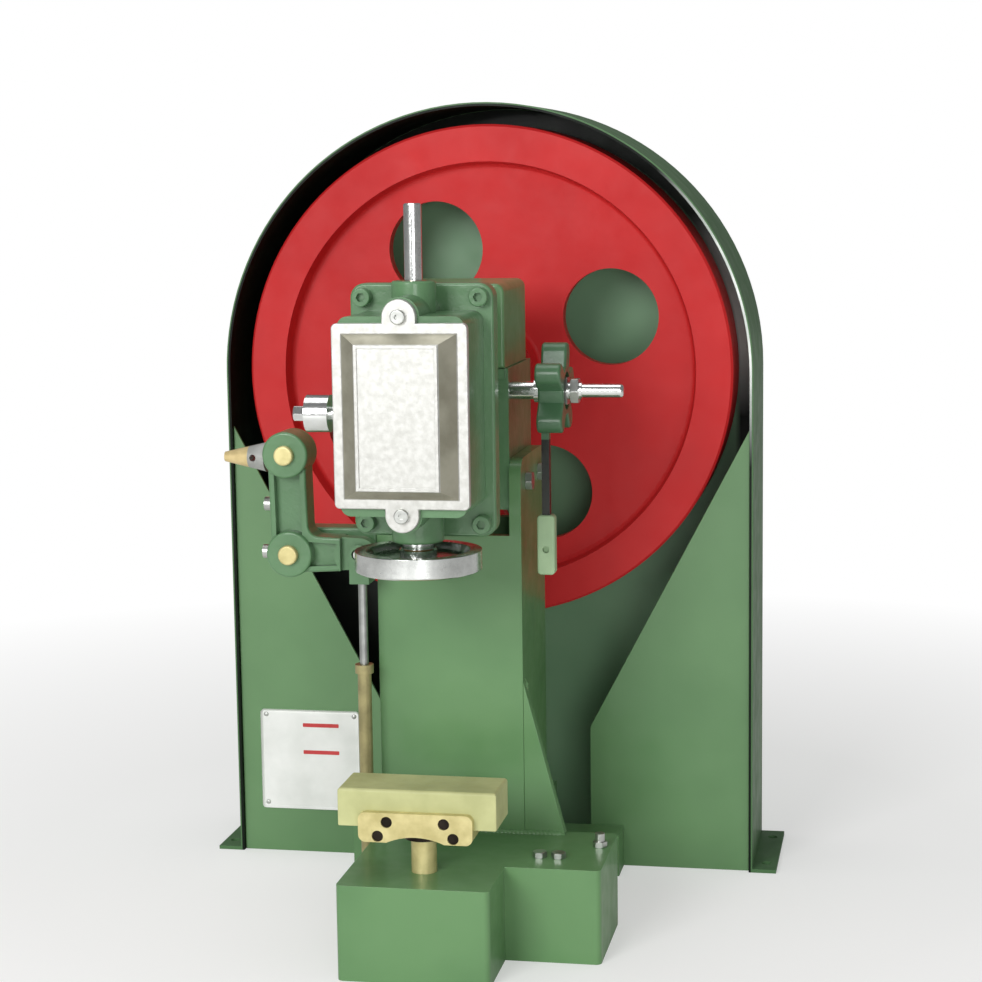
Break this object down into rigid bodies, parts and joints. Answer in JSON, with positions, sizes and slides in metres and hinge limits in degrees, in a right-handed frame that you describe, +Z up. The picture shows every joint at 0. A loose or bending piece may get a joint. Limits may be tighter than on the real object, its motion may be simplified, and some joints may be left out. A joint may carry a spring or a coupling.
{
  "type": "shoe punching machine",
  "caption": "Bench punching press: flywheel in an arched guard, welded column, cast head with a crank-driven ram and striker disc over an anvil block",
  "frame": {"origin": "on the bench plane, in the middle of the wheel guard's four foot holes", "axes": "X to the machine's right as the operator faces it, Y to the back along the crankshaft, Z up"},
  "size_m": [0.638, 0.5695, 0.8429],
  "materials": {
    "green_sheet": "smooth green machine enamel on folded sheet steel",
    "green_weldment": "green machine enamel on welded plate",
    "green_casting": "thick green enamel over cast iron, slightly rough",
    "light_green_grip": "pale green moulded grip",
    "red_casting": "red enamel over cast iron",
    "pale_casting": "pale bead-blasted aluminium casting",
    "polished_steel": "turned and polished steel",
    "zinc_steel": "zinc plated steel",
    "dark_steel": "blackened steel",
    "tan_metal": "yellow passivated steel, tan",
    "bronze": "bearing bronze",
    "tan_block": "tan moulded cutting block"
  },
  "bodies": {
    "frame": {"guard_arch": "green_sheet", "back_panel": "green_sheet", "front_panel_left": "green_sheet", "front_panel_right": "green_sheet", "clutch_cover": "green_sheet", "bed": "green_weldment", "column_front_plate": "green_weldment", "column_back_plate": "green_weldment", "column_cheek_left": "green_weldment", "column_cheek_right": "green_weldment", "side_gusset": "green_weldment", "neck": "green_casting", "head_housing": "green_casting", "flange_screws": "green_casting", "crank_bracket": "green_casting", "front_cover": "pale_casting", "lever_stud": "polished_steel", "stroke_lock_screw": "polished_steel", "base_bolts": "zinc_steel", "fork_bolts": "zinc_steel", "cover_screws": "zinc_steel", "stud_washer": "zinc_steel", "stud_nuts": "zinc_steel", "holder_screws": "dark_steel", "post_nut": "dark_steel", "pivot_pin": "tan_metal", "anvil_holder": "tan_metal", "anvil_post": "tan_metal", "neck_bush_front": "bronze", "neck_bush_rear": "bronze", "guide_bush_top": "bronze", "guide_bush_bottom": "bronze", "anvil_block": "tan_block"},
    "flywheel": {"flywheel": "red_casting", "flywheel_bush": "bronze"},
    "crankshaft": {"crankshaft": "polished_steel", "crank_roller": "zinc_steel", "roller_retainer": "zinc_steel", "clutch_collar": "zinc_steel", "clutch_key": "zinc_steel", "shaft_end_washer": "zinc_steel", "shaft_end_nut": "zinc_steel"},
    "ram": {"ram": "polished_steel", "striker_disc": "polished_steel", "disc_nut": "polished_steel"},
    "bell_crank": {"bell_crank": "green_casting", "upper_pin": "tan_metal", "trip_finger": "tan_metal", "bell_crank_screws": "zinc_steel", "rod_pin": "zinc_steel"},
    "pedal_rod": {"pedal_fork": "green_casting", "pedal_rod": "polished_steel", "rod_sleeve": "tan_metal"},
    "clutch_lever": {"clutch_lever": "green_casting", "lever_grip": "light_green_grip"}
  },
  "joints": [
    {"name": "flywheel_spin", "type": "hinge", "parent": "frame", "child": "flywheel", "pos_m": [0, 0, 0.55], "axis": [0, 1, 0], "continuous": true},
    {"name": "crank_turn", "type": "hinge", "parent": "frame", "child": "crankshaft", "pos_m": [0, 0, 0.55], "axis": [0, 1, 0], "range_deg": [0, 180]},
    {"name": "ram_slide", "type": "slide", "parent": "frame", "child": "ram", "axis": [0, 0, -1], "range_m": [0, 0.025]},
    {"name": "bell_crank_turn", "type": "hinge", "parent": "frame", "child": "bell_crank", "pos_m": [-0.156, -0.298, 0.388], "axis": [0, 1, 0], "range_deg": [0, 12], "stiffness_Nm_per_rad": 4, "springref_deg": -20.05},
    {"name": "pedal_pull", "type": "slide", "parent": "frame", "child": "pedal_rod", "axis": [0, 0, -1], "range_m": [0, 0.015]},
    {"name": "clutch_lever_turn", "type": "hinge", "parent": "frame", "child": "clutch_lever", "pos_m": [0.1025, -0.258, 0.55], "axis": [1, 0, 0], "range_deg": [-20, 20]}
  ],
  "couplings": [
    {"joint": "ram_slide", "follows": "crank_turn", "m_per_rad": 0.0079577},
    {"joint": "pedal_pull", "follows": "bell_crank_turn", "m_per_rad": 0.071}
  ]
}
